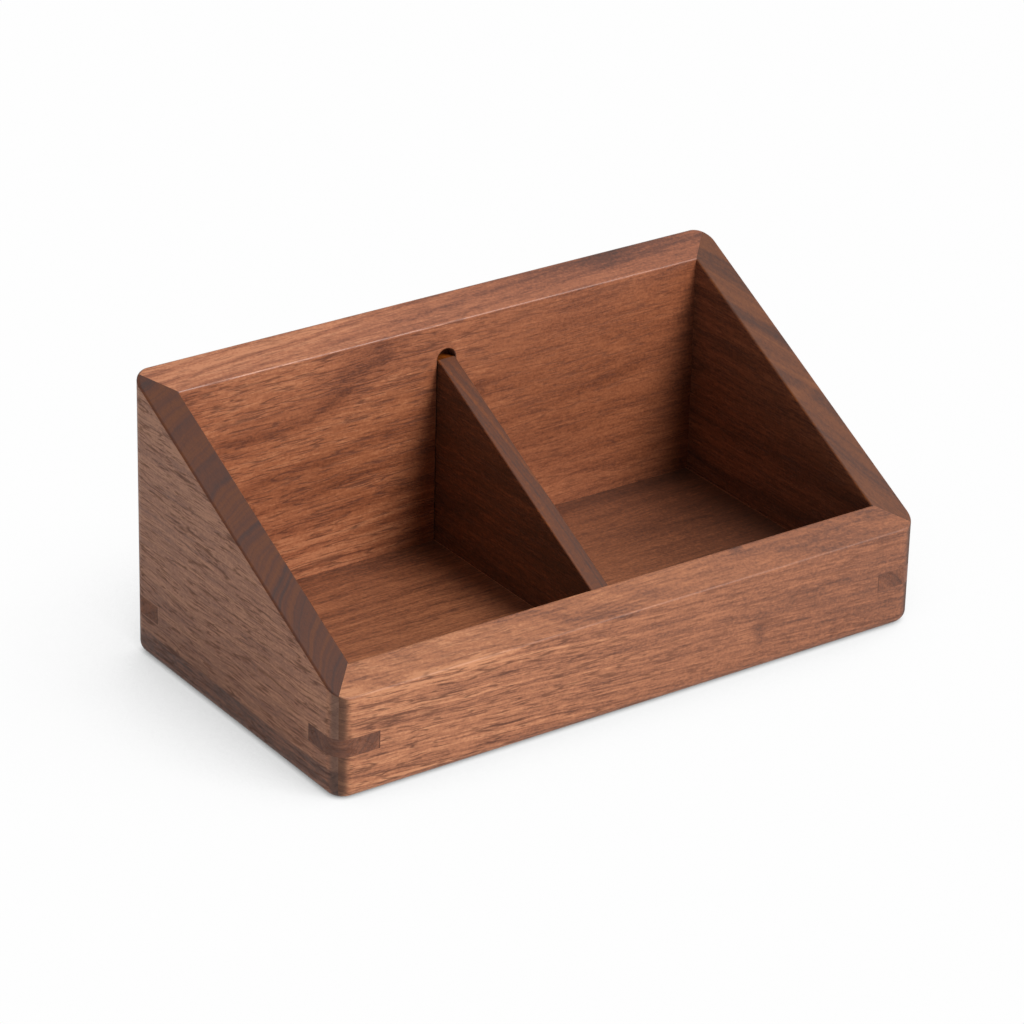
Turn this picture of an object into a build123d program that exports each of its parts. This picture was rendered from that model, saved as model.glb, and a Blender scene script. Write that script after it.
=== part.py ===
from build123d import *
import os

# An open desk box of solid hardwood with two compartments: four mitred walls under one sloping rim,
# a bottom panel in a groove, a divider in two stopped grooves, and a key across each corner.
# +Z is up, the front faces -Y, and the origin is under the middle of the box, on the surface it
# stands on. All sizes are in millimetres.

# ---- The box -------------------------------------------------------------------------------------
width = 250.0                    # left to right
depth = 134.0                    # front to back
back_height = 109.0              # rim height at the back face
front_height = 39.0              # rim height at the front face
wall = 12.7                      # thickness of the four wall boards
corner_radius = 7.0              # upright outer corners
foot_radius = 4.5                # rounding under the outer bottom edge
rim_ease = 0.9                   # sanding along the edges of the rim

# ---- The bottom panel ----------------------------------------------------------------------------
floor_height = 16.0              # upper face of the panel
panel_thickness = 6.0
panel_groove_depth = 5.0         # how deep the walls are grooved for it
panel_swell_gap = 0.5            # room left at the bottom of that groove for the wood to move

# ---- The divider and its grooves -----------------------------------------------------------------
divider_drop = 13.8              # straight down from the rim's plane to the divider's top
divider_ease = 0.6               # sanding along the divider's top edges
groove_width = 8.0
groove_depth = 5.0               # how deep the front and back walls are grooved for the divider
groove_ease = 0.5                # sanding along the groove's mouth
groove_end_drop = 0.4            # centre of the groove's round end, below the divider's top
divider_side_gap = 0.2           # on each side of the divider in its groove
divider_end_gap = 0.3            # between the divider's end and the groove's bottom

# ---- The corner keys -----------------------------------------------------------------------------
key_leg = 17.5                   # along each wall's outer face
key_thickness = 6.8              # height of a key
key_above_floor = 0.8            # wood left between the panel's groove and a key

# ---- Worked out from those -----------------------------------------------------------------------
half_width = width / 2
half_depth = depth / 2
inner_half_width = half_width - wall
inner_half_depth = half_depth - wall
rim_slope = (back_height - front_height) / depth
panel_underside = floor_height - panel_thickness
divider_thickness = groove_width - 2 * divider_side_gap
divider_reach = inner_half_depth + groove_depth - divider_end_gap
key_underside = floor_height + key_above_floor

overrun = 10.0                   # how far a cutting shape runs past what it cuts
clear_height = back_height + overrun

# Corners and walls by name; -1 is left or front, and +1 is right or back.
corners = {
    "front_left": (-1, -1),
    "front_right": (1, -1),
    "back_right": (1, 1),
    "back_left": (-1, 1),
}
wall_ends = {
    "front": ("front_left", "front_right"),
    "right": ("front_right", "back_right"),
    "back": ("back_right", "back_left"),
    "left": ("back_left", "front_left"),
}


# ---- Heights and basic shapes --------------------------------------------------------------------
def rim_height(y):
    """Height of the rim's sloping plane at a distance y behind the middle."""
    return front_height + rim_slope * (y + half_depth)


def divider_top(y):
    """Height of the divider's top, which runs parallel to the rim."""
    return rim_height(y) - divider_drop


def groove_end_height(facing):
    """Height at which the divider's groove starts to round off, in the front or back wall."""
    return divider_top(facing * inner_half_depth) - groove_end_drop


def plan_point(corner, inset=0.0):
    """The (x, y) of a corner of the box, or of the point inset from both outer faces there."""
    side_x, side_y = corners[corner]
    return side_x * (half_width - inset), side_y * (half_depth - inset)


def block(x_range, y_range, z_range):
    """A plain block between two values along each axis."""
    spans = [sorted(limits) for limits in (x_range, y_range, z_range)]
    lengths = [high - low for low, high in spans]
    lowest = [low for low, high in spans]
    return Pos(*lowest) * Box(*lengths, align=(Align.MIN, Align.MIN, Align.MIN))


def upright_prism(outline, bottom, top):
    """A prism with a horizontal (x, y) outline."""
    return extrude(Pos(0, 0, bottom) * Polygon(*outline, align=None), top - bottom, dir=(0, 0, 1))


def plate_across(outline, half_thickness):
    """A plate centred on the middle plane, from its (y, z) outline as seen from the right."""
    return extrude(Plane.YZ * Polygon(*outline, align=None), half_thickness, both=True)


# ---- The walls -----------------------------------------------------------------------------------
def box_outside():
    """The rounded outer body of the box, cut off along the sloping rim."""
    body = block((-half_width, half_width), (-half_depth, half_depth), (0, clear_height))
    body = fillet(body.edges().filter_by(Axis.Z), corner_radius)
    body = fillet(body.faces().sort_by(Axis.Z)[0].edges(), foot_radius)
    front, back = -half_depth - overrun, half_depth + overrun
    above_rim = [
        (front, rim_height(front)),
        (back, rim_height(back)),
        (back, rim_height(back) + clear_height),
        (front, rim_height(back) + clear_height),
    ]
    return body - plate_across(above_rim, half_width + overrun)


def wall_ring():
    """The four walls in one ring with the rim's edges sanded, before the mitres part them."""
    inside = block(
        (-inner_half_width, inner_half_width),
        (-inner_half_depth, inner_half_depth),
        (-overrun, clear_height),
    )
    ring = box_outside() - inside
    rim = [face for face in ring.faces() if face.normal_at().Z > 0][0]
    return fillet(rim.edges(), rim_ease)


def mitred_wall(ring, side):
    """One wall of the ring, up to the 45 degree mitres at its two ends."""
    start, end = wall_ends[side]
    outline = [plan_point(start), plan_point(end), plan_point(end, wall), plan_point(start, wall)]
    return ring & upright_prism(outline, -overrun, clear_height)


def cut_divider_groove(board, facing):
    """Cuts the divider's stopped groove into the front (-1) or back (+1) wall and sands its mouth."""
    radius = groove_width / 2
    mouth = facing * inner_half_depth
    bottom = facing * (inner_half_depth + groove_depth)
    end_height = groove_end_height(facing)
    straight = block((-radius, radius), (mouth, bottom), (panel_underside, end_height))
    round_end = Pos(0, (mouth + bottom) / 2, end_height) * Rot(X=90) * Cylinder(radius, groove_depth)
    board -= straight + round_end
    at_mouth = board.edges().filter_by_position(Axis.Y, mouth, mouth)
    sanded = [
        edge for edge in at_mouth
        if abs(edge.center().X) <= radius and panel_underside < edge.center().Z < end_height + radius
    ]
    return fillet(sanded, groove_ease)


def panel_groove():
    """What the four walls give up for the edges of the bottom panel."""
    reach_x = inner_half_width + panel_groove_depth
    reach_y = inner_half_depth + panel_groove_depth
    return block((-reach_x, reach_x), (-reach_y, reach_y), (panel_underside, floor_height))


def make_walls(keys):
    """The four walls with their grooves and with the slots for the corner keys."""
    ring = wall_ring()
    walls = {side: mitred_wall(ring, side) for side in wall_ends}
    walls["front"] = cut_divider_groove(walls["front"], -1)
    walls["back"] = cut_divider_groove(walls["back"], 1)
    for side, ends in wall_ends.items():
        walls[side] -= panel_groove()
        for corner in ends:
            walls[side] -= keys[corner]
    return walls


# ---- What the walls hold -------------------------------------------------------------------------
def corner_key(corner):
    """A flat key across a corner, planed flush with both walls and their rounded corner."""
    side_x, side_y = corners[corner]
    x, y = plan_point(corner)
    outline = [(x, y), (x - side_x * key_leg, y), (x, y - side_y * key_leg)]
    return upright_prism(outline, key_underside, key_underside + key_thickness) & box_outside()


def bottom_panel():
    """The floor of both compartments, loose in its groove so that it can swell and shrink."""
    reach_x = inner_half_width + panel_groove_depth - panel_swell_gap
    reach_y = inner_half_depth + panel_groove_depth - panel_swell_gap
    return block((-reach_x, reach_x), (-reach_y, reach_y), (panel_underside, floor_height))


def divider():
    """The board between the compartments, standing on the panel with a tongue in each groove."""
    outline = [
        (-divider_reach, floor_height),
        (divider_reach, floor_height),
        (divider_reach, divider_top(divider_reach)),
        (-divider_reach, divider_top(-divider_reach)),
    ]
    board = plate_across(outline, divider_thickness / 2)
    top = [face for face in board.faces() if face.normal_at().Z > 0][0]
    long_edges = [edge for edge in top.edges() if abs(edge.center().Y) < inner_half_depth]
    board = fillet(long_edges, divider_ease)
    for facing in (-1, 1):
        board -= block(
            (-divider_thickness, divider_thickness),
            (facing * inner_half_depth, facing * (divider_reach + overrun)),
            (groove_end_height(facing), clear_height),
        )
    return board


# ---- The whole box -------------------------------------------------------------------------------
corner_keys = {corner: corner_key(corner) for corner in corners}
walls = make_walls(corner_keys)

parts = {f"{side}_wall": board for side, board in walls.items()}
parts["bottom_panel"] = bottom_panel()
parts["divider"] = divider()
for corner, key in corner_keys.items():
    parts[f"spline_{corner}"] = key

os.makedirs("parts", exist_ok=True)
for name, shape in parts.items():
    export_step(shape, f"parts/{name}.step")
    size = shape.bounding_box().size
    print(f"{name}: {size.X:.1f} x {size.Y:.1f} x {size.Z:.1f} mm, {shape.volume / 1000:.1f} cm3")
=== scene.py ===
# %% [markdown]
# # A walnut desk box
# The part is a small open box that stands on a desk: four mitred walls with a sloping top edge, a
# bottom panel, a divider that makes two compartments, and a thin key of darker wood across each
# corner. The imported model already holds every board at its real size, so the boards could be drawn
# again here or simply taken as they are. They are taken as they are, because what Blender adds is
# the wood, the light and the view.

import math

import bpy
from mathutils import Matrix, Vector


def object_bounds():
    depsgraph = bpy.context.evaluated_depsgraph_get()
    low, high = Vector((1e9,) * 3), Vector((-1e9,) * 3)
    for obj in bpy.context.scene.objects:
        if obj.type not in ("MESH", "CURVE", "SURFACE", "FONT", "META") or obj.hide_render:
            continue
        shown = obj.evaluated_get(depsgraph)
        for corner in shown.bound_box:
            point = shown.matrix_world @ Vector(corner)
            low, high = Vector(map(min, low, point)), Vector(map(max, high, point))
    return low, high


millimetres = 1000    # in a metre

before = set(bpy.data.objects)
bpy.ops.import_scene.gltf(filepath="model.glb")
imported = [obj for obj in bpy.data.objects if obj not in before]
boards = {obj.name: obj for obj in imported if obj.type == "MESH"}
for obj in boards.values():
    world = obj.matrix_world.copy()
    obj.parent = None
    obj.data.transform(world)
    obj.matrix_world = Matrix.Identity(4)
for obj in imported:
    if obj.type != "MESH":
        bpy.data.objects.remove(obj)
cad_low, cad_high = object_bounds()
box_size = [millimetres * (high - low) for low, high in zip(cad_low, cad_high)]
print("boards:", ", ".join(sorted(boards)))
print("size in millimetres:", [round(side, 1) for side in box_size])

# %% [markdown]
# The view is that of a product sheet: from the front left and above, a long way off with a long
# lens, so that the edges stay nearly parallel. A camera can be placed by its location and three
# rotation angles, but those are hard to guess. Two angles and a distance round the point that it
# looks at are easier to read, so the camera's axes are worked out from them.

# %% Camera
camera_azimuth = math.radians(-35.47)
camera_elevation = math.radians(26.24)
camera_roll = math.radians(1.49)
camera_distance = 1.604
camera_lens = 158.1
sensor_width = 36.0
look_height = 0.05
frame_shift_right = -0.00641
frame_shift_up = -0.00078


def place_camera():
    """A camera at the studio's angle, with its small roll and its framing."""
    back = Vector((
        math.sin(camera_azimuth) * math.cos(camera_elevation),
        -math.cos(camera_azimuth) * math.cos(camera_elevation),
        math.sin(camera_elevation),
    ))
    right = Vector((math.cos(camera_azimuth), math.sin(camera_azimuth), 0.0))
    right = Matrix.Rotation(camera_roll, 3, back) @ right
    up = back.cross(right)
    spot = Vector((0, 0, look_height)) + back * camera_distance
    spot += right * frame_shift_right + up * frame_shift_up
    data = bpy.data.cameras.new("studio_camera")
    data.lens = camera_lens
    data.sensor_width = sensor_width
    camera = bpy.data.objects.new("studio_camera", data)
    bpy.context.scene.collection.objects.link(camera)
    camera.matrix_world = Matrix.Translation(spot) @ Matrix((right, up, back)).transposed().to_4x4()
    bpy.context.scene.camera = camera
    return camera


camera = place_camera()
print("camera at", tuple(round(c, 3) for c in camera.location))

# %% [markdown]
# A material is a small graph of nodes. Each node takes three steps to build by hand: add it, set its
# options, and fill or link its sockets. One board of this wood needs well over a hundred of them, so
# this desk does the three steps in one call, and has a short call for each kind of node that comes
# up again and again.

# %% Node desk
class NodeDesk:
    """A node tree with short calls for adding nodes."""

    def __init__(self, tree):
        self.tree = tree
        tree.nodes.clear()

    def add(self, kind, sockets=None, **options):
        """Adds a node with its options set and its sockets filled or linked."""
        node = self.tree.nodes.new(kind)
        for name, value in options.items():
            setattr(node, name, value)
        for name, value in (sockets or {}).items():
            if isinstance(value, bpy.types.NodeSocket):
                self.tree.links.new(value, node.inputs[name])
            else:
                node.inputs[name].default_value = value
        return node

    def math(self, operation, *values):
        """The result of a Math node."""
        return self.add("ShaderNodeMath", dict(enumerate(values)), operation=operation).outputs[0]

    def vector(self, operation, *values):
        """The result of a Vector Math node that gives a vector."""
        node = self.add("ShaderNodeVectorMath", dict(enumerate(values)), operation=operation)
        return node.outputs["Vector"]

    def measure(self, operation, *values):
        """The result of a Vector Math node that gives a number."""
        node = self.add("ShaderNodeVectorMath", dict(enumerate(values)), operation=operation)
        return node.outputs["Value"]

    def remap(self, value, from_low, from_high, to_low=0.0, to_high=1.0):
        """A value moved smoothly from one range to another and held inside it."""
        sockets = {"Value": value, "From Min": from_low, "From Max": from_high,
                   "To Min": to_low, "To Max": to_high}
        return self.add("ShaderNodeMapRange", sockets, interpolation_type="SMOOTHSTEP").outputs[0]

    def total(self, *values):
        """The sum of several values."""
        result = values[0]
        for value in values[1:]:
            result = self.math("ADD", result, value)
        return result

    def mix(self, share, colour, other):
        """A colour with a share of another one in it."""
        sockets = {0: share, 6: colour, 7: other}    # the places of these inputs on a Mix node
        return self.add("ShaderNodeMix", sockets, data_type="RGBA").outputs[2]

    def finish(self, shader, kind="ShaderNodeOutputMaterial"):
        """Links a shader to the tree's output."""
        self.tree.links.new(shader, self.add(kind).inputs[0])


def new_material(name):
    """An empty material and the desk for its nodes."""
    material = bpy.data.materials.new(name)
    material.use_nodes = True
    return material, NodeDesk(material.node_tree)


print("calls of the node desk: add, math, vector, measure, remap, total, mix, finish")

# %% [markdown]
# Wood grain is the same thing at many sizes: colour bands as wide as a finger, lines inside them,
# fibres and pores. All of it is noise that has been pulled out along the grain. So a noise is asked
# for by the size of its lumps in millimetres, long by deep by high, which can be checked with a
# ruler on a real board. It is centred on zero, so that several can be added without a board growing
# lighter or darker.

# %% Noise by the millimetre
noise_average = 0.5


def shrink(desk, place, lump):
    """A place measured in lumps instead of millimetres."""
    return desk.vector("MULTIPLY", place, tuple(1.0 / size for size in lump))


def noise(desk, place, lump, detail=2.0, roughness=0.5):
    """Noise about zero, with lumps of the given length, depth and height."""
    sockets = {"Vector": shrink(desk, place, lump), "Scale": 1.0,
               "Detail": detail, "Roughness": roughness}
    value = desk.add("ShaderNodeTexNoise", sockets).outputs["Fac"]
    return desk.math("SUBTRACT", value, noise_average)


def noise_line(desk, value, lump, detail, roughness):
    """Noise about zero along one number."""
    sockets = {"W": desk.math("DIVIDE", value, lump), "Scale": 1.0,
               "Detail": detail, "Roughness": roughness}
    value = desk.add("ShaderNodeTexNoise", sockets, noise_dimensions="1D").outputs["Fac"]
    return desk.math("SUBTRACT", value, noise_average)


def noise_push(desk, place, lump, reach):
    """Noise in three directions at once, which moves a place about by the reach given for each."""
    sockets = {"Vector": shrink(desk, place, lump), "Scale": 1.0, "Detail": 1.0, "Roughness": 0.5}
    colour = desk.add("ShaderNodeTexNoise", sockets).outputs["Color"]
    centred = desk.vector("SUBTRACT", colour, (noise_average,) * 3)
    return desk.vector("ADD", place, desk.vector("MULTIPLY", centred, reach))


print("noise by the millimetre: in space, along one number, and as a push")

# %% [markdown]
# Each board was sawn from a different place in the tree, which gives it a figure of its own. A
# picture of wood on each face would be quick, but it would not run round the edges. Here the wood is
# solid: every point of a board has a place in the tree, so the bands on a face carry on over its
# rounded edge and across the sloping rim, as they do on real boards. The dictionary holds what can
# differ from board to board, with the values of a plain one.

# %% A plain board
plain_board = dict(
    fibre=0.0,            # the direction that the grain runs, in degrees from X towards Y
    turn=0.0,             # how far the grain runs off that, in degrees, seen on the board's face
    heart=(0, -90),       # middle of the tree, across the board's thickness and up, in millimetres
    lean=0.0,             # how far the heart drops for each millimetre along the board
    taper=0.0,            # how much the rings widen along the board, which draws arches
    start=(0, 0, 0),      # a shift of the fibres, so that no two boards look alike
    ring_start=0.0,       # a shift of the rings
    wander=(4.0, 0.6),    # slow and quick waviness of the fibres, in millimetres
    wobble=5.0,           # unevenness of the rings
    ring=(8.0, 0.10),     # step from one dark ring to the next and how dark they are
    band=(4.0, 0.4),      # width of the colour bands between them and how strong they are
    line=(1.1, 0.3),      # the same for the fine lines inside the bands
    calm=(0, 1, 1.0),     # from and to where along the board the figure fades, and what is left
    streak=0.36,          # long streaks along the fibres
    thread=0.50,          # thinner, shorter ones
    hair=0.50,            # the thinnest ones
    fleck=0.50,           # specks
    end_detail=0.35,      # how much of these is left where the fibres are cut across
    end_rings=1.8,        # how much stronger the rings are on a rim that cuts across the fibres
    end_shade=0.60,       # how much light the oiled fibre ends give back, beside the faces
    end_red=0.85,         # how strong their colour is beside that of the faces
    rim=(1.0, 1.0, 0.0),  # upward faces beside the others: how light, how strong, shift of hue
    rim_pores=0.6,        # how much of the pores is left on them
    tone=0.55,            # average tone, from dark heart (0) to pale (1)
    fade=(0, 0, 0),       # change of tone per metre along x, y and z
    pores=0.48,           # how dark the pores are
    pore_share=0.5,       # how many there are
    red=1.0,              # how strong the colour is
    hue=0.5,              # its hue: below a half it leans to red, and above to yellow
    rough=0.48,           # how matt the oiled surface is
    clouds=(),            # lighter or darker places: middle, half size, change and softness
    seams=(),             # where along the board a wall stands on it
    glue=None,            # a slanting face with a glue line: its direction in x and y, and its place
)
print("values that can differ from board to board:", len(plain_board))

# %% [markdown]
# A noise stretched along X would do for a board that lies along X, but the side walls run from front
# to back, and the keys slantwise. So each point is first turned until the fibres lie along the first
# axis. Real fibres don't run dead straight either. Moving the point a little by a slow noise and a
# quick one makes every streak and pore on the board wave together, as they do round a branch.

# %% Place and fibres
slow_wave = (95, 38, 38)
quick_wave = (17, 8, 8)


def board_place(desk, wood):
    """A point in millimetres, with the fibres along its first axis."""
    where = desk.add("ShaderNodeTexCoord").outputs["Object"]
    return desk.add("ShaderNodeMapping", {
        "Vector": where,
        "Scale": (millimetres,) * 3,
        "Rotation": (0, 0, -math.radians(wood["fibre"])),
    }).outputs[0]


def wandering_fibres(desk, place, wood):
    """The same point as the fibres see it: they run a little off the board and wave about."""
    turned = desk.add("ShaderNodeMapping", {
        "Vector": place, "Rotation": (0, math.radians(wood["turn"]), 0),
        "Location": wood["start"]}).outputs[0]
    slow, quick = wood["wander"]
    waved = noise_push(desk, turned, slow_wave, (0, slow, slow))
    return noise_push(desk, waved, quick_wave, (0, quick, quick))


def along_board(desk, place):
    """How far along the board a point is."""
    return desk.measure("DOT_PRODUCT", place, (1, 0, 0))


print("the fibres wave every", slow_wave[0], "and", quick_wave[0], "mm")

# %% [markdown]
# The rings are nested cones round the tree's heart. A board that passes close to the heart cuts
# them into arches, and one further off into nearly straight bands, so the same few nodes serve both:
# the distance from the heart, plus a little for each millimetre along the board. Real rings are
# uneven, so the point is first moved about by a soft noise. Some boards are lively at one end and
# calm at the other, so a share fades their figure along the way.

# %% Growth rings
broad_bend = (46, 24, 24)
small_bend = (14, 8, 8)
small_bend_share = 0.2
ring_softness = 0.3    # how far into a ring its dark edge reaches, as a share of the step
ring_detail = 2.0
ring_roughness = 0.6


def growth_ring(desk, place, wood):
    """How far a point is from the tree's heart, in millimetres."""
    wobble = wood["wobble"]
    small_wobble = wobble * small_bend_share
    bent = noise_push(desk, place, broad_bend, (0, wobble, wobble))
    bent = noise_push(desk, bent, small_bend, (0, small_wobble, small_wobble))
    offset = desk.vector("SUBTRACT", bent, (0, *wood["heart"]))
    along = along_board(desk, offset)
    lean = desk.math("MULTIPLY", along, wood["lean"])
    drop = desk.add("ShaderNodeCombineXYZ", {"Z": lean}).outputs[0]
    across = desk.vector("MULTIPLY", desk.vector("ADD", offset, drop), (0, 1, 1))
    away = desk.measure("LENGTH", across)
    return desk.total(away, desk.math("MULTIPLY", along, wood["taper"]), wood["ring_start"])


def ring_tone(desk, place, wood):
    """The dark rings, the lighter and darker bands, and the fine lines between them."""
    ring = growth_ring(desk, place, wood)
    step, depth = wood["ring"]
    width, force = wood["band"]
    fine_width, fine_force = wood["line"]
    gap = desk.math("PINGPONG", ring, step / 2)
    rings = desk.remap(gap, 0, step * ring_softness, -depth, 0.0)
    bands = noise_line(desk, ring, width, ring_detail, ring_roughness)
    lines = noise_line(desk, ring, fine_width, ring_detail, ring_roughness)
    return desk.total(
        rings,
        desk.math("MULTIPLY", bands, force),
        desk.math("MULTIPLY", lines, fine_force),
    )


def figure_share(desk, place, wood):
    """1 where the figure is lively, and less towards the calm end of a board."""
    calm_from, calm_to, calm_left = wood["calm"]
    return desk.remap(along_board(desk, place), calm_from, calm_to, 1.0, calm_left)


print("a plain board has a dark ring every", plain_board["ring"][0], "mm")

# %% [markdown]
# A stain, a sheen of paler wood, or the light and dark sides of a small knot could be had by bending
# the rings, which takes long to get right. A soft cloud of tone is far simpler: an ellipsoid whose
# border waves along the grain. Some clouds are painted light and shade instead: highlights on two
# top edges, the shadow of the right wall on the back wall and the floor, and shade on the floor
# along the foot of the back wall. Where a wall stands on the bottom panel, the tone has a thin pale
# line beside it. It could be modelled as a groove, but a line this thin is as good in the tone.

# %% Clouds, painted light and pale seam lines
cloud_wave = (18, 6, 6)
cloud_wave_reach = (8, 2.5, 2.5)
seam_line_edge = 0.5
seam_line_core = 0.25
seam_line_tone = 0.4


def cloud_tone(desk, place, wood):
    """Lighter and darker places, some of them painted highlight, shadow or shade, with borders that
    wave along the grain.
    """
    if not wood["clouds"]:
        return 0.0
    waved = noise_push(desk, place, cloud_wave, cloud_wave_reach)
    tone = 0.0
    for middle, half_size, change, softness in wood["clouds"]:
        offset = desk.vector("DIVIDE", desk.vector("SUBTRACT", waved, middle), half_size)
        away = desk.measure("LENGTH", offset)
        tone = desk.total(tone, desk.remap(away, 1.0, 1.0 - softness, 0.0, change))
    return tone


def seam_tone(desk, place, wood):
    """Thin pale lines beside the walls that stand on a board."""
    if not wood["seams"]:
        return 0.0
    along = along_board(desk, place)
    tone = 0.0
    for seam in wood["seams"]:
        away = desk.math("ABSOLUTE", desk.math("SUBTRACT", along, seam))
        tone = desk.total(tone, desk.remap(away, seam_line_edge, seam_line_core, 0.0, seam_line_tone))
    return tone


print("the pale seam lines are", 2 * seam_line_edge, "mm wide")

# %% [markdown]
# Between the rings, walnut shows long streaks, then dashes and specks down to the size of a single
# vessel. One noise with more detail would shrink its lumps in length and width alike. Real fibres
# get thinner faster than they get shorter, so four noises of different slimness are added.

# %% Fibres
fibre_kinds = {
    # size of the lumps, detail and roughness
    "streak": ((60, 5.0, 5.0), 2.0, 0.6),
    "thread": ((24, 1.4, 1.4), 1.0, 0.7),
    "hair": ((5, 0.7, 0.7), 1.0, 0.7),
    "fleck": ((1.2, 0.9, 0.9), 1.0, 0.6),
}
calm_fibres = 0.5    # what is left of the long ones at the calm end of a board


def fibre_kind(desk, fibres, kind, wood):
    """The tone of one kind of fibre, as strong as this board has it."""
    lump, detail, roughness = fibre_kinds[kind]
    return desk.math("MULTIPLY", noise(desk, fibres, lump, detail, roughness), wood[kind])


def fibre_tone(desk, fibres, lively, wood):
    """Streaks, threads and specks along the grain."""
    long_ones = desk.total(*(
        fibre_kind(desk, fibres, kind, wood) for kind in ("streak", "thread", "hair")))
    long_share = desk.remap(lively, 0, 1, calm_fibres, 1.0)
    return desk.total(
        desk.math("MULTIPLY", long_ones, long_share),
        fibre_kind(desk, fibres, "fleck", wood),
    )


for kind, (lump, detail, roughness) in fibre_kinds.items():
    print(kind, "lumps of", lump, "mm")

# %% [markdown]
# The pores of walnut are open vessels, cut along their length: dark dashes, a fraction of a
# millimetre wide. Each could be cut into the mesh, at a cost of many thousand faces. They are drawn
# in two ways instead: as veins, which are the borders between soft, stretched lumps, and as short
# dashes that crowd together in places. One way alone looks either combed or peppered.

# %% Pores
coarse_vein = (30, 2.6, 2.6)
fine_vein = (24, 1.3, 1.3)
coarse_vein_width = 0.06    # in steps of the noise, for a share of pores of 1
fine_vein_width = 0.07
least_vein_width = 0.02
vein_gap_length = 0.45      # the gaps in a vein, beside the size of its lumps
vein_gap_width = 0.8
vein_gap_range = (-0.10, 0.12)
dash = (7.0, 0.55, 0.55)
dash_crowd = (30, 5.0, 5.0)
crowd_force = 0.4
fewest_dashes = 0.30        # the noise starts to draw dashes here, for a share of pores of 0
dash_gain = 0.22            # and that much lower for a share of 1
dash_softness = 0.08
dash_depth = 0.8


def vein_mask(desk, fibres, lump, width):
    """Thin lines: the borders between stretched soft lumps, broken up along the grain."""
    length, depth, height = lump
    gap_lump = (length * vein_gap_length, depth * vein_gap_width, height * vein_gap_width)
    border = desk.math("ABSOLUTE", noise(desk, fibres, lump, 1.0))
    line = desk.remap(border, width, 0.0)
    gaps = noise(desk, fibres, gap_lump, 0.0)
    return desk.math("MULTIPLY", line, desk.remap(gaps, *vein_gap_range))


def pore_mask(desk, fibres, wood):
    """Open vessels: thin dark dashes a few millimetres long, 1 in their middle."""
    share = wood["pore_share"]
    coarse = vein_mask(desk, fibres, coarse_vein, coarse_vein_width * share + least_vein_width)
    fine = vein_mask(desk, fibres, fine_vein, fine_vein_width * share + least_vein_width)
    crowd = desk.math("MULTIPLY", noise(desk, fibres, dash_crowd, 1.0), crowd_force)
    crowded = desk.total(noise(desk, fibres, dash, 0.0), crowd)
    start = fewest_dashes - dash_gain * share
    dashes = desk.remap(crowded, start, start + dash_softness, 0.0, dash_depth)
    return desk.math("MAXIMUM", desk.math("MAXIMUM", coarse, fine), dashes)


print("the dashes are up to", dash[0], "mm long")

# %% [markdown]
# Oil soaks deepest into cut fibre ends, so a surface grows darker the more it cuts across the grain:
# the sloping rims of the side walls and the rounded corners. The surface normal against the fibre
# direction tells how much. The rims were planed after the glue-up and sanded finer than the walls,
# so a second number, how far a face looks up, lets each board have a rim of its own tone, with fewer
# open pores. Painting the rims by hand would leave hard borders, while the normal blends over the
# eased edges by itself.

# %% Ends and rims
cut_range = (0.08, 0.62)    # the normal along the fibres: long grain below, cut ends above
upward_range = (0.1, 0.5)   # the normal along Z: upright faces below, rims and floors above


def end_grain(desk, wood):
    """How far a surface cuts across the fibres: 0 on long grain, and 1 on the ends."""
    normal = desk.add("ShaderNodeNewGeometry").outputs["Normal"]
    angle = math.radians(wood["fibre"])
    axis = (math.cos(angle), math.sin(angle), 0)
    cut = desk.math("ABSOLUTE", desk.measure("DOT_PRODUCT", normal, axis))
    return desk.remap(cut, *cut_range)


def faces_up(desk):
    """0 on upright faces, and 1 on those that face up."""
    normal = desk.add("ShaderNodeNewGeometry").outputs["Normal"]
    return desk.remap(desk.measure("DOT_PRODUCT", normal, (0, 0, 1)), *upward_range)


def kind_of_face(desk, place, wood):
    """What a point lies on: cut ends or long grain, a rim or a wall, a lively or a calm part."""
    return {
        "ends": end_grain(desk, wood),
        "upward": faces_up(desk),
        "lively": figure_share(desk, place, wood),
    }


print("cut ends start where the normal leans", cut_range[0], "to the fibres")

# %% [markdown]
# All the figure of a board meets in one number, its tone. The pores could be part of it, but a pore
# is as dark in pale wood as in dark, so they stay a number of their own and are mixed in later. On
# cut ends the fibres grow weaker, and on the sloping rims the rings stand out, as they do wherever a
# board is cut across.

# %% Tone and pores of a board
calm_pores = 0.4    # what is left of the pores at the calm end of a board


def board_tone(desk, place, fibres, face, wood):
    """All the lighter and darker figure of a board, as one number."""
    lively = face["lively"]
    rim_ends = desk.math("MULTIPLY", face["ends"], face["upward"])
    ring_gain = desk.remap(rim_ends, 0, 1, 1.0, wood["end_rings"])
    ring_share = desk.math("MULTIPLY", lively, ring_gain)
    fibre_share = desk.remap(face["ends"], 0, 1, 1.0, wood["end_detail"])
    metres = desk.vector("MULTIPLY", place, (1 / millimetres,) * 3)
    return desk.total(
        wood["tone"],
        desk.measure("DOT_PRODUCT", metres, wood["fade"]),
        desk.math("MULTIPLY", ring_tone(desk, place, wood), ring_share),
        cloud_tone(desk, place, wood),
        desk.math("MULTIPLY", fibre_tone(desk, fibres, lively, wood), fibre_share),
        desk.math("MULTIPLY", seam_tone(desk, place, wood), face["upward"]),
    )


def board_pores(desk, fibres, face, wood):
    """The open pores, with fewer of them on cut ends, on rims and where the board is calm."""
    pores = pore_mask(desk, fibres, wood)
    for share in (
        desk.remap(face["ends"], 0, 1, 1.0, wood["end_detail"]),
        desk.remap(face["lively"], 0, 1, calm_pores, 1.0),
        desk.remap(face["upward"], 0, 1, 1.0, wood["rim_pores"]),
    ):
        pores = desk.math("MULTIPLY", pores, share)
    return pores


print("share of the pores left at a calm end and on a rim:", calm_pores, plain_board["rim_pores"])

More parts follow.
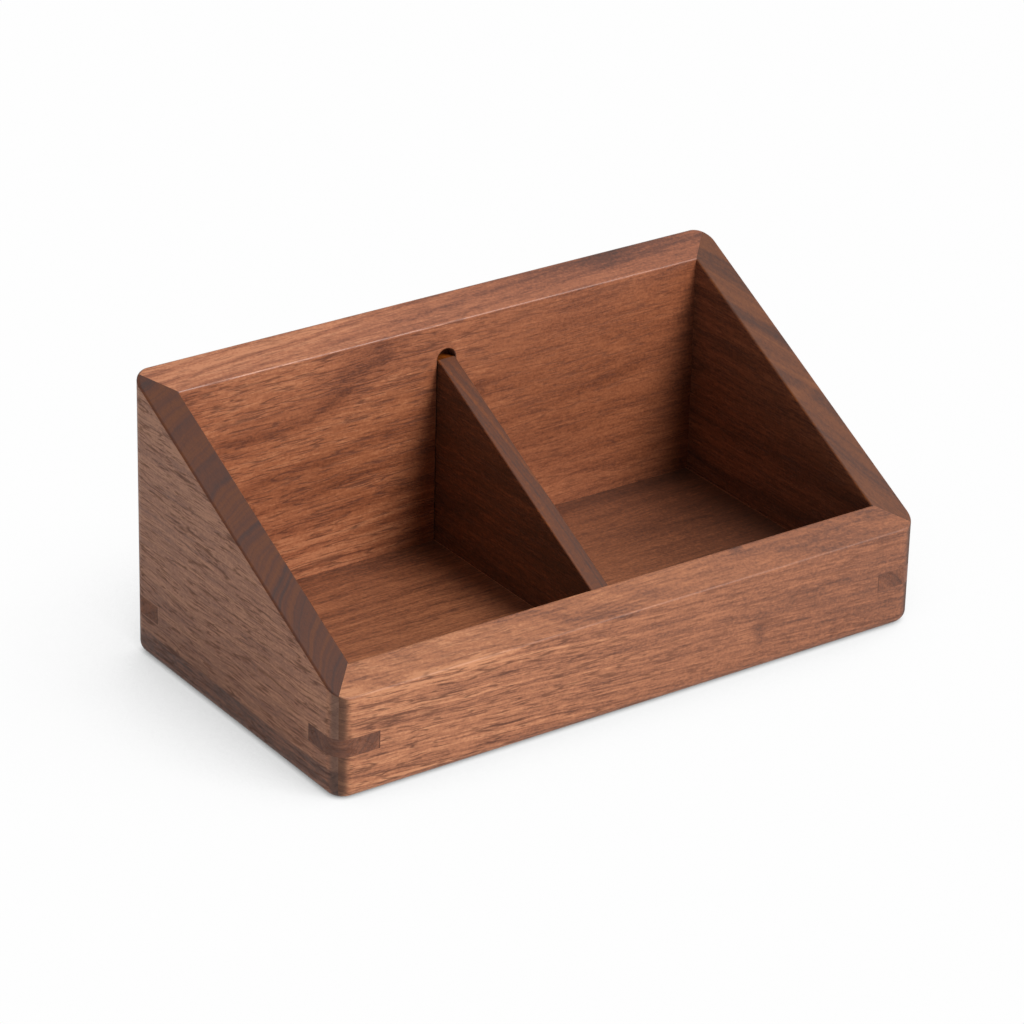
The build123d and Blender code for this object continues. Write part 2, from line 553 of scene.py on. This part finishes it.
# %% [markdown]
# The tone becomes a colour through a ramp, which is the simplest way to keep the dark streaks redder
# than the pale ones. Then the pores are mixed in, and one node turns hue, strength and lightness for
# the ends and rims, which is easier to adjust than a ramp for each. A key has one thing more: a thin
# dark glue line, where its slanting back meets the wall.

# %% Colour of a board
walnut_tones = [
    (0.00, (0.044, 0.0150, 0.0078)),
    (0.28, (0.119, 0.0390, 0.0178)),
    (0.52, (0.237, 0.0815, 0.0350)),
    (0.78, (0.355, 0.1330, 0.0580)),
    (1.00, (0.470, 0.1980, 0.0920)),
]
pore_colour = (0.062, 0.0150, 0.0050, 1.0)
glue_edge = 0.55
glue_core = 0.25
glue_dark = 0.75


def ramp(desk, value, stops):
    """A colour ramp from a list of positions and colours."""
    node = desk.add("ShaderNodeValToRGB", {"Fac": value})
    points = node.color_ramp.elements
    while len(points) < len(stops):
        points.new(1.0)
    for point, (position, colour) in zip(points, stops):
        point.position = position
        point.color = (*colour, 1.0)
    return node.outputs["Color"]


def glue_line(desk, wood, colour):
    """A thin dark line where a key's slanting back comes to the surface."""
    side_x, side_y, back = wood["glue"]
    outwards = (millimetres * side_x, millimetres * side_y, 0)
    where = desk.add("ShaderNodeTexCoord").outputs["Object"]
    away = desk.math("SUBTRACT", desk.measure("DOT_PRODUCT", where, outwards), back)
    near = desk.remap(away, glue_edge, glue_core, 0.0, glue_dark)
    return desk.mix(near, colour, pore_colour)


def by_face(desk, face, long_grain, end, rim):
    """A value for long grain and one for cut ends, times a factor on rims."""
    on_ends = desk.remap(face["ends"], 0, 1, long_grain, end)
    on_rims = desk.remap(face["upward"], 0, 1, 1.0, rim)
    return desk.math("MULTIPLY", on_ends, on_rims)


def board_colour(desk, tone, pores, face, wood):
    """The colour of oiled walnut for a tone, with its pores."""
    colour = ramp(desk, tone, walnut_tones)
    colour = desk.mix(desk.math("MULTIPLY", pores, wood["pores"]), colour, pore_colour)
    if wood["glue"]:
        colour = glue_line(desk, wood, colour)
    rim_light, rim_red, rim_hue = wood["rim"]
    red = wood["red"]
    hue = wood["hue"]
    return desk.add("ShaderNodeHueSaturation", {
        "Hue": desk.remap(face["upward"], 0, 1, hue, hue + rim_hue),
        "Saturation": by_face(desk, face, red, red * wood["end_red"], rim_red),
        "Value": by_face(desk, face, 1.0, wood["end_shade"], rim_light),
        "Color": colour,
    }).outputs["Color"]


print("tones of walnut, from dark to pale:", [position for position, colour in walnut_tones])

# %% [markdown]
# An oiled board isn't lacquered: it has a soft, low gloss, and none in its open pores and cut ends.
# So the roughness follows the pores and the ends, and a bump a fifth of a millimetre deep lets the
# pores catch the light. Real grooves would be hidden at this distance, and cost faces for nothing.

# %% Oiled walnut
oil_gloss = 0.45
pore_rough = 0.7
end_rough = 0.15     # added on cut ends
pore_depth = 0.0002
pore_bump = 0.25


def walnut(name, **changes):
    """Oiled walnut for one board."""
    wood = {**plain_board, **changes}
    material, desk = new_material(name)
    place = board_place(desk, wood)
    fibres = wandering_fibres(desk, place, wood)
    face = kind_of_face(desk, place, wood)
    tone = board_tone(desk, place, fibres, face, wood)
    pores = board_pores(desk, fibres, face, wood)
    bump = desk.add("ShaderNodeBump", {
        "Height": desk.math("MULTIPLY", pores, -1.0),
        "Strength": pore_bump,
        "Distance": pore_depth,
    })
    surface = desk.add("ShaderNodeBsdfPrincipled", {
        "Base Color": board_colour(desk, tone, pores, face, wood),
        "Roughness": desk.total(
            desk.remap(pores, 0, 1, wood["rough"], pore_rough),
            desk.math("MULTIPLY", face["ends"], end_rough)),
        "Normal": bump.outputs[0],
        "Specular IOR Level": oil_gloss,
    })
    desk.finish(surface.outputs[0])
    return material


def dress(node, material):
    """Puts a material on every slot of a board."""
    mesh = boards[node].data
    if not mesh.materials:
        mesh.materials.append(material)
    for index in range(len(mesh.materials)):
        mesh.materials[index] = material
    print(node, "is dressed with", len(material.node_tree.nodes), "nodes")


print("gloss of the oil:", oil_gloss)

# %% [markdown]
# The front wall is the palest board. Its grain runs down a little to the right, its lines are
# lively at the left and calm at the right, where it is a shade darker, and there is a small knot in
# its right half. The tilt could be drawn by hand, but one angle in the fibres' own place does it.

# %% Front wall
dress("front_wall", walnut(
    "walnut_front_wall",
    turn=-3.0, heart=(-30, -70), lean=0.05, taper=0.03, start=(11, 3, 7), ring_start=11,
    ring=(6.0, 0.06), band=(3.4, 0.48), line=(1.2, 0.80), calm=(-60, 40, 0.35),
    # the rise of tone along z lightens the wall towards its top: painted light on the upper face and
    # rim
    thread=0.6, tone=0.60, fade=(-1.6, 0, 0.5), pores=0.75, rough=0.54, end_shade=0.30, end_red=1.0,
    clouds=(
        ((-80, -60, 34), (60, 30, 12), 0.08, 1.0),
        ((75, -67, 25), (42, 30, 5), -0.09, 1.0),
        ((46, -67, 15), (6, 20, 6), 0.14, 1.0),
        ((54, -67, 15), (4, 20, 9), -0.20, 1.0),
        ((-8, -66, 40), (15, 6, 6), -0.12, 1.0),
        # painted highlight along the left half of the top front edge
        ((-72, -66.6, 38.8), (38, 2.5, 2.5), 0.40, 0.8),
        ((92, -66, 40), (28, 5, 4), -0.14, 1.0),
        ((60, -60, 43), (70, 9, 7), -0.06, 1.0),
        ((51, -54, 46), (5, 6, 6), -0.45, 0.8),
    ),
))

# %% [markdown]
# The back wall is flat-sawn: its inside shows arches that open out from the top left corner and
# turn into quiet, level streaks on the right. Lines laid out by hand would never close properly, so
# the heart of the tree is placed behind the board and leans away from it, and the arches follow.

# %% Back wall
dress("back_wall", walnut(
    "walnut_back_wall",
    heart=(174, 96), lean=0.046, taper=0.052, wobble=3.0, start=(37, 5, 9), ring_start=-118.2,
    ring=(4.4, 0.20), band=(2.2, 0.45), line=(0.6, 0.2), calm=(-20, 40, 0.4),
    streak=0.34, thread=0.45,
    tone=0.67, fade=(-1.1, 0, 0), pores=0.7, red=1.02, hue=0.496, rim=(1.05, 0.97, 0.0),
    rough=0.40,
    clouds=(
        ((-75, 60, 104), (70, 20, 22), 0.06, 1.0),
        ((-70, 62, 109), (80, 12, 8), 0.20, 1.0),
        # painted highlight along the left half of the inner top edge
        ((-80, 54.3, 109), (48, 4.0, 4.5), 0.50, 0.8),
        ((-50, 54, 24), (48, 8, 16), 0.20, 1.0),
        ((32, 54, 24), (45, 8, 14), 0.16, 1.0),
        # painted shadow of the right wall on the right end of the inside
        ((114, 54, 55), (20, 8, 70), -0.16, 1.0),
        ((70, 62, 109), (90, 12, 8), -0.30, 1.0),
        ((78, 67, 109), (18, 11, 11), -0.20, 1.0),
        ((100, 67, 109), (36, 8, 8), -0.10, 1.0),
    ),
))

# %% [markdown]
# The side walls have their grain from front to back. Along their sloping rims the saw cut across the
# fibres at a slant, so the rings show there as slanting bands in dark, oily wood, and the fine
# dashes are gone. The left board is paler and a little grey, with a darker strip along its foot, and
# its tone rises towards the top, which is painted light from the left side. The right one is darker,
# with one light ring across its rim. The strip and the ring could come from the rings alone, but a
# cloud for each puts it just where it belongs.

# %% Side walls
dress("left_wall", walnut(
    "walnut_left_wall",
    fibre=90, heart=(84, -20), start=(71, 13, 2), wander=(9.0, 1.0),
    ring=(11.0, 0.10), band=(5.0, 0.40), line=(1.1, 0.35),
    # the tone rising along z is painted light on the upper face
    tone=0.775, fade=(0, 0, 1.0), pores=0.65, red=0.99, rim=(0.315, 1.5, -0.009),
    thread=0.6, hair=0.6, end_shade=0.48, end_rings=2.8,
    clouds=(((0, 125, 0), (500, 40, 11.5), -0.40, 0.08),),
))
dress("right_wall", walnut(
    "walnut_right_wall",
    fibre=90, heart=(-40, -20), start=(5, 23, 12), ring=(12.0, 0.16), band=(5.0, 0.35),
    tone=0.47, red=0.97, rim=(0.76, 1.27, 0.0), end_rings=1.1,
    clouds=(((-5.5, -119, 71), (5.5, 16, 14), 0.13, 1.0),),
))

# %% [markdown]
# The bottom panel is a thin, straight-grained board with soft streaks. It is darker towards the back
# and the right, which is painted shade: shade along the foot of the back wall, and the shadow of the
# right wall on the right compartment's floor. A thin pale line runs beside the divider and each side
# wall. Their places could be read from the boards, but four numbers are plainer. The divider is thin
# too, and cut so that its rings stand upright, which shows as lines along its top edge.

# %% Panel and divider
dress("bottom_panel", walnut(
    "walnut_bottom_panel",
    heart=(60, -40), start=(17, 33, 4), ring=(5.0, 0.08), band=(4.0, 0.35),
    calm=(-20, 30, 0.3), seams=(-111.8, -3.8, 3.8, 111.8),
    # the fall of tone towards the back and the right is painted shade
    tone=0.53, fade=(-0.8, -0.6, 0), pores=0.5, red=1.0,
    clouds=(
        # painted shade on the floor along the foot of the back wall
        ((0, 56, 16), (300, 15, 20), -0.20, 0.8),
        # painted shadow of the right wall on the right compartment's floor
        ((100, 0, 16), (75, 110, 20), -0.25, 1.0),
    ),
))
dress("divider", walnut(
    "walnut_divider",
    fibre=90, heart=(140, 40), start=(57, 43, 24), ring=(3.0, 0.04), band=(4.0, 0.22),
    line=(1.1, 0.16), wobble=2.0, tone=0.26, red=0.97, hue=0.505, rim=(1.14, 1.36, -0.005),
))

# %% [markdown]
# The keys are thin slips of dark heartwood, with their grain running from one wall to the other, so
# both visible ends are cut across the fibres at 45 degrees. A dark glue line shows where the slip
# ends in the wall. It lies along the slanting back of the key, so the distance from that face
# places it, and the size of the slip is read from its own mesh.

# %% Corner keys
key_names = [name for name in sorted(boards) if name.startswith("spline_")]
key_tone = 0.31
paler_keys = {"spline_back_left": 0.48}


def key_walnut(name):
    """Dark walnut for one key, with its glue line."""
    corners = [millimetres * vertex.co for vertex in boards[name].data.vertices]
    side_x = 1 if corners[0].x > 0 else -1
    side_y = 1 if corners[0].y > 0 else -1
    back = min(side_x * corner.x + side_y * corner.y for corner in corners)
    return walnut(
        name.replace("spline", "walnut_key"),
        fibre=-45 * side_x * side_y, heart=(30, -90), start=(29, 3, 14), band=(3.0, 0.3),
        tone=paler_keys.get(name, key_tone), end_red=1.0, pores=0.2,
        streak=0.3, thread=0.2, hair=0.2, fleck=0.2,
        end_detail=1.0, end_rings=1.0, end_shade=1.0,
        glue=(side_x, side_y, back),
    )


for name in key_names:
    dress(name, key_walnut(name))

# %% [markdown]
# The light is one large soft box high on the right of the camera, over a white table that throws
# some of it back at the walls and glows a little itself. A second lamp could fill the shadows, but
# the compartments are meant to be deep brown, so only a very dim, even sky and that faint glow do
# that.
# The camera sees the sky as plain white. That white reaches the camera and mirror reflections alone,
# and lights nothing.

# %% Light
key_direction = Vector((0.337, -0.662, 0.669)).normalized()
key_distance = 1.6
key_size = 0.7
key_power = 31.0
sky_strength = 0.06
paper_white = 0.99


def rays_that_see(desk):
    """1 for rays that look at the surroundings, and 0 for those that carry their light."""
    ray = desk.add("ShaderNodeLightPath").outputs
    mirror = desk.math("MAXIMUM", ray["Is Glossy Ray"], ray["Is Transmission Ray"])
    return desk.math("MAXIMUM", ray["Is Camera Ray"], mirror)


def key_light():
    """A square soft box that points at the object."""
    data = bpy.data.lights.new("key_soft_box", "AREA")
    data.shape = "SQUARE"
    data.size = key_size
    data.energy = key_power
    lamp = bpy.data.objects.new("key_soft_box", data)
    bpy.context.scene.collection.objects.link(lamp)
    lamp.location = key_direction * key_distance
    lamp.rotation_mode = "QUATERNION"
    lamp.rotation_quaternion = key_direction.to_track_quat("Z", "Y")


def white_sky():
    """A dim sky for light, and a white one for the camera."""
    world = bpy.data.worlds.new("studio")
    bpy.context.scene.world = world
    world.use_nodes = True
    desk = NodeDesk(world.node_tree)
    strength = desk.remap(rays_that_see(desk), 0, 1, sky_strength, paper_white)
    sky = desk.add("ShaderNodeBackground", {"Color": (1, 1, 1, 1), "Strength": strength})
    desk.finish(sky.outputs[0], "ShaderNodeOutputWorld")


key_light()
white_sky()
bpy.context.scene.view_settings.view_transform = "Standard"
print("soft box at", tuple(round(c, 2) for c in key_direction * key_distance))

# %% [markdown]
# The table is white paper. Lit as brightly as this, it turns pure white everywhere but in a narrow
# soft shadow where it meets the box. A shadow from the lamp would spread far across it, so what the
# camera sees is how open to the sky each point is, made a little brighter than white and held at
# white. The openness is measured about a direction that leans to the front, so the shadow stays
# thin there and grows at the sides and behind. For light that bounces off it, the same disc is
# ordinary pale paper, and it also glows a little, as strongly as its openness, which lights the box
# in place of the rest of a bright room.

# %% Table
table_radius = 3.0
table_sides = 96
shadow_samples = 6
shadow_reach = 0.115
shadow_side = (0.05, -0.34, 0.94)
over_white = 1.42
paper_colour = (0.9, 0.9, 0.9, 1)
table_glow = 0.35


def table():
    """A wide pale disc under the box."""
    bpy.ops.mesh.primitive_circle_add(vertices=table_sides, radius=table_radius, fill_type="NGON")
    disc = bpy.context.object
    disc.name = "table"
    material, desk = new_material("table_paper")
    side = desk.add("ShaderNodeCombineXYZ", dict(enumerate(shadow_side))).outputs[0]
    openness = desk.add("ShaderNodeAmbientOcclusion", {
        "Distance": shadow_reach, "Normal": side}, samples=shadow_samples).outputs["AO"]
    camera_ray = desk.add("ShaderNodeLightPath").outputs["Is Camera Ray"]
    gain = desk.remap(camera_ray, 0, 1, 1.0, over_white)
    bright = desk.math("MINIMUM", desk.math("MULTIPLY", openness, gain), paper_white)
    seen = desk.add("ShaderNodeEmission", {"Color": (1, 1, 1, 1), "Strength": bright})
    paper = desk.add("ShaderNodeBsdfDiffuse", {"Color": paper_colour})
    # the table's glow, which lights the box though the table is no lamp
    lift = desk.add("ShaderNodeEmission", {
        "Color": (1, 1, 1, 1), "Strength": desk.math("MULTIPLY", openness, table_glow)})
    plain = desk.add("ShaderNodeAddShader", {0: paper.outputs[0], 1: lift.outputs[0]})
    both = desk.add("ShaderNodeMixShader", {
        0: rays_that_see(desk), 1: plain.outputs[0], 2: seen.outputs[0]})
    desk.finish(both.outputs[0])
    disc.data.materials.append(material)


table()
print("table radius", table_radius)
